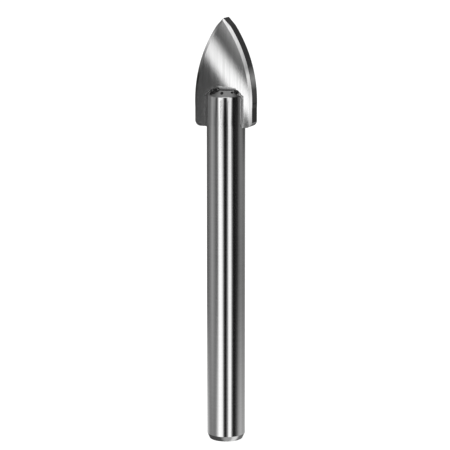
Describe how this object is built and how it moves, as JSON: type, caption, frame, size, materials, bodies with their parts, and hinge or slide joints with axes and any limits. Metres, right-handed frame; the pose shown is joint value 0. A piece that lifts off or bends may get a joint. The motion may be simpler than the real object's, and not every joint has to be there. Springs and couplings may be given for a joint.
{
  "type": "glass and tile drill bit",
  "caption": "Glass and tile drill bit: a ground spear-shaped carbide plate brazed into the slotted end of a plain round steel shank.",
  "frame": {"origin": "centre of the flat foot of the shank, where the bit stands", "axes": "+Z along the shank towards the point; the plate is wide along X and its faces look along -Y and +Y"},
  "size_m": [0.01, 0.0064, 0.0705],
  "materials": {
    "shank_steel": "centreless ground and bright",
    "tungsten_carbide": "ground on a fine diamond wheel",
    "silver_braze": "as flowed, a little dull"
  },
  "bodies": {
    "root": {"shank": "shank_steel", "carbide_tip": "tungsten_carbide", "braze_joint": "silver_braze"}
  },
  "joints": []
}
